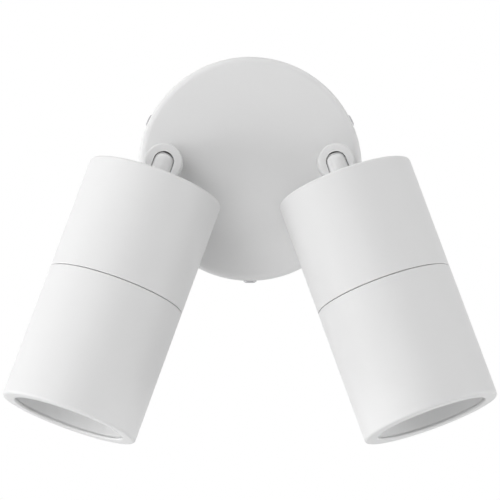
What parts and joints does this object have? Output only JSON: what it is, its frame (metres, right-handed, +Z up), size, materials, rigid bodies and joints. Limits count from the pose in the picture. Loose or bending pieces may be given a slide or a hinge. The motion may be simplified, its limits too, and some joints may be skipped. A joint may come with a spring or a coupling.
{
  "type": "pivoting spotlight wall light",
  "caption": "Wall light: a round canopy carries cylindrical spotlights on swivelling, tilting stems, each with a screw-off front barrel and recessed glass.",
  "frame": {"origin": "centre of the wall screw pattern on the wall plane, behind the middle of the canopy", "axes": "+X to the right seen from the front, +Y into the wall, +Z up"},
  "size_m": [0.2106, 0.1071, 0.1688],
  "materials": {
    "white_coat": "die-cast aluminium with a white satin powder coat of very fine texture",
    "screw_steel": "plain stainless steel",
    "zinc_steel": "bright zinc plate",
    "spring_steel": "tempered spring steel",
    "brass": "turned brass",
    "foam": "pale closed-cell foam",
    "dark_rubber": "matt black rubber",
    "silicone": "milky silicone",
    "natural_plastic": "natural polyamide",
    "bush_plastic": "white polyamide",
    "ceramic": "unglazed steatite",
    "lamp_shell": "white lamp body with a clouded front",
    "lens_glass": "toughened glass, lightly frosted inside"
  },
  "bodies": {
    "base": {"canopy": "white_coat", "canopy_screws": "screw_steel", "wall_gasket": "foam", "wall_bracket": "zinc_steel", "cable_grommet": "dark_rubber", "terminal_block": "natural_plastic", "terminal_sleeves": "brass", "terminal_screws": "screw_steel", "block_screws": "screw_steel", "earth_screw": "brass"},
    "post_left": {"swivel_post_left": "white_coat", "swivel_seal_left": "dark_rubber", "swivel_washer_left": "spring_steel", "swivel_nut_left": "zinc_steel", "pivot_screws_left": "screw_steel"},
    "head_left": {"stem_left": "white_coat", "wire_bush_left": "bush_plastic", "stem_washer_left": "dark_rubber", "stem_nut_left": "zinc_steel", "rear_housing_left": "white_coat", "lampholder_bracket_left": "zinc_steel", "bracket_screws_left": "screw_steel", "lampholder_left": "ceramic", "lampholder_screws_left": "screw_steel", "lamp_left": "lamp_shell"},
    "seal_left": {"barrel_seal_left": "dark_rubber"},
    "barrel_left": {"front_barrel_left": "white_coat", "lens_gasket_left": "silicone", "lens_left": "lens_glass", "lens_retainer_left": "spring_steel"},
    "post_right": {"swivel_post_right": "white_coat", "swivel_seal_right": "dark_rubber", "swivel_washer_right": "spring_steel", "swivel_nut_right": "zinc_steel", "pivot_screws_right": "screw_steel"},
    "head_right": {"stem_right": "white_coat", "wire_bush_right": "bush_plastic", "stem_washer_right": "dark_rubber", "stem_nut_right": "zinc_steel", "rear_housing_right": "white_coat", "lampholder_bracket_right": "zinc_steel", "bracket_screws_right": "screw_steel", "lampholder_right": "ceramic", "lampholder_screws_right": "screw_steel", "lamp_right": "lamp_shell"},
    "seal_right": {"barrel_seal_right": "dark_rubber"},
    "barrel_right": {"front_barrel_right": "white_coat", "lens_gasket_right": "silicone", "lens_right": "lens_glass", "lens_retainer_right": "spring_steel"}
  },
  "joints": [
    {"name": "swivel_left", "type": "hinge", "parent": "base", "child": "post_left", "pos_m": [-0.0374, -0.053, 0.0024], "axis": [0, 1, 0], "range_deg": [-22, 162]},
    {"name": "tilt_left", "type": "hinge", "parent": "post_left", "child": "head_left", "pos_m": [-0.0374, -0.053, 0.0024], "axis": [-0.9403, 0, 0.3404], "range_deg": [-2.5, 78]},
    {"name": "barrel_turn_left", "type": "hinge", "parent": "head_left", "child": "seal_left", "pos_m": [-0.0374, -0.053, 0.0024], "axis": [-0.3329, -0.2079, -0.9197], "range_deg": [0, 1440]},
    {"name": "barrel_advance_left", "type": "slide", "parent": "seal_left", "child": "barrel_left", "axis": [-0.3329, -0.2079, -0.9197], "range_m": [0, 0.006]},
    {"name": "swivel_right", "type": "hinge", "parent": "base", "child": "post_right", "pos_m": [0.0374, -0.053, 0.0024], "axis": [0, -1, 0], "range_deg": [-22, 162]},
    {"name": "tilt_right", "type": "hinge", "parent": "post_right", "child": "head_right", "pos_m": [0.0374, -0.053, 0.0024], "axis": [-0.9403, 0, -0.3404], "range_deg": [-2.5, 78]},
    {"name": "barrel_turn_right", "type": "hinge", "parent": "head_right", "child": "seal_right", "pos_m": [0.0374, -0.053, 0.0024], "axis": [0.3329, -0.2079, -0.9197], "range_deg": [0, 1440]},
    {"name": "barrel_advance_right", "type": "slide", "parent": "seal_right", "child": "barrel_right", "axis": [0.3329, -0.2079, -0.9197], "range_m": [0, 0.006]}
  ],
  "couplings": [
    {"joint": "barrel_advance_left", "follows": "barrel_turn_left", "m_per_rad": 0.00023873},
    {"joint": "barrel_advance_right", "follows": "barrel_turn_right", "m_per_rad": 0.00023873}
  ]
}
